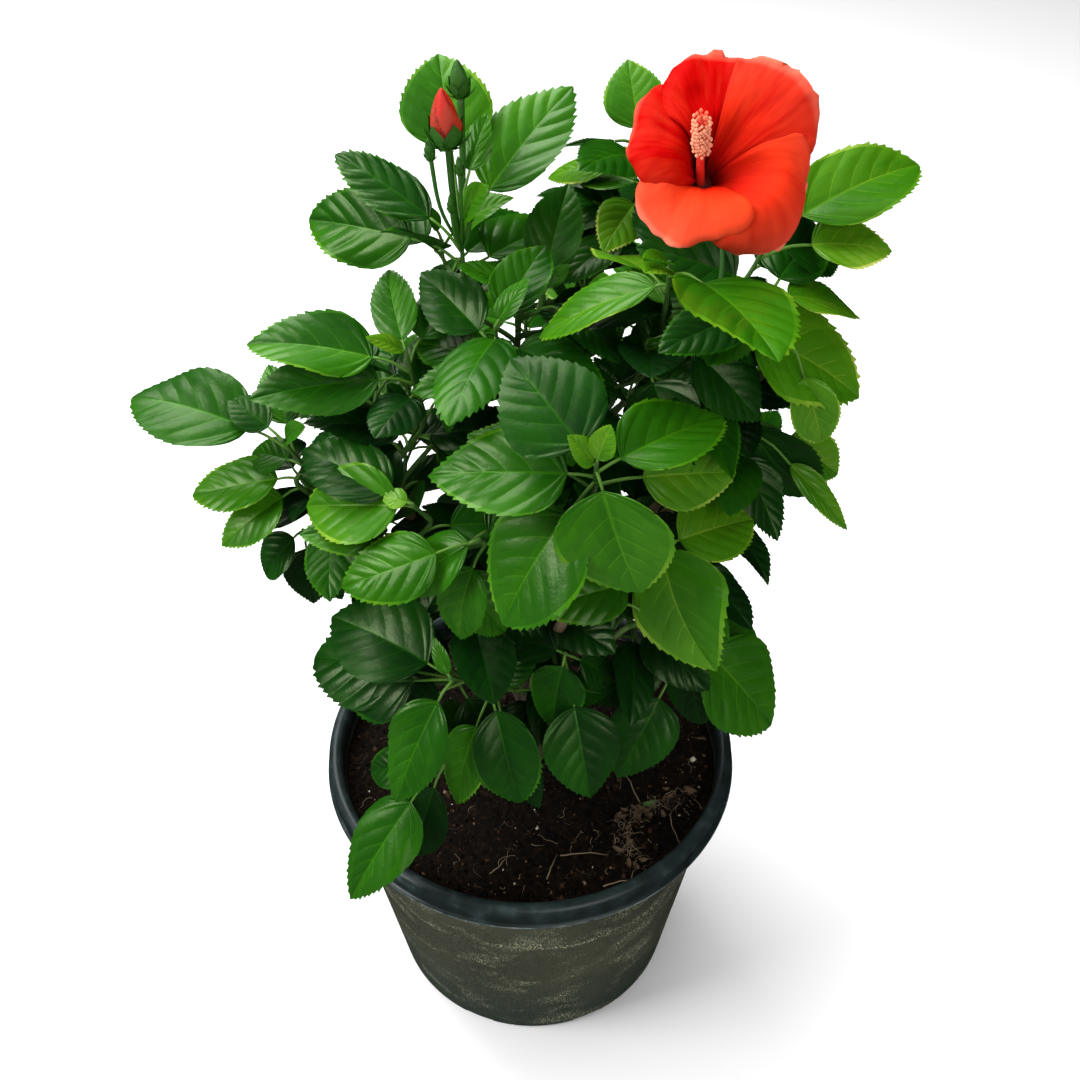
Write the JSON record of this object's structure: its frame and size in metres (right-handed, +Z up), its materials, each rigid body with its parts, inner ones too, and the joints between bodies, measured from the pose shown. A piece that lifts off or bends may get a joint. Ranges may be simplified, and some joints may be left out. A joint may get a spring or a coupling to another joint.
{
  "type": "hibiscus shrub",
  "caption": "Bushy hibiscus shrub in a round dark nursery pot, with a forked woody trunk, leafy boughs and an open red flower.",
  "frame": {"origin": "centre of the flat underside of the pot", "axes": "+Z up the trunk, -Y towards the front of the plant, +X to its right seen from the front"},
  "size_m": [0.4624, 0.3743, 0.7802],
  "materials": {
    "pot_plastic": "matt dark grey-green moulded plastic, with pale limescale specks",
    "potting_soil": "damp, near-black potting soil with fibres and bark crumbs",
    "bark": "dull grey-brown bark, green on the young shoots",
    "foliage": "glossy toothed green leaves",
    "petals": "soft orange-red petals"
  },
  "bodies": {
    "root": {"pot": "pot_plastic", "soil": "potting_soil", "trunk": "bark", "stem_left": "bark", "stem_right": "bark", "stem_front": "bark", "stem_back": "bark", "bough_bud_top": "bark", "bough_centre": "bark", "bough_centre_back": "bark", "bough_back_top": "bark", "bough_flower": "bark", "bough_right_top": "bark", "bough_left": "bark", "bough_far_left": "bark", "bough_far_left_low": "bark", "bough_front": "bark", "bough_right": "bark", "bough_front_left": "bark", "bough_front_right": "bark", "bough_back_left": "bark", "bough_back": "bark", "bough_back_right": "bark", "bough_low_left": "bark", "bough_over_rim": "bark", "bough_low_front": "bark", "bough_low_right": "bark", "bough_low_back": "bark", "leaves_bud_top": "foliage", "leaves_flower": "foliage", "leaves_right_top": "foliage", "leaves_back_top": "foliage", "leaves_left": "foliage", "leaves_far_left": "foliage", "leaves_far_left_low": "foliage", "leaves_centre": "foliage", "leaves_centre_back": "foliage", "leaves_front": "foliage", "leaves_right": "foliage", "leaves_front_left": "foliage", "leaves_front_right": "foliage", "leaves_low_left": "foliage", "leaves_over_rim": "foliage", "leaves_low_front": "foliage", "leaves_low_right": "foliage", "leaves_back_left": "foliage", "leaves_back": "foliage", "leaves_back_right": "foliage", "leaves_low_back": "foliage", "flower": "petals"}
  },
  "joints": []
}
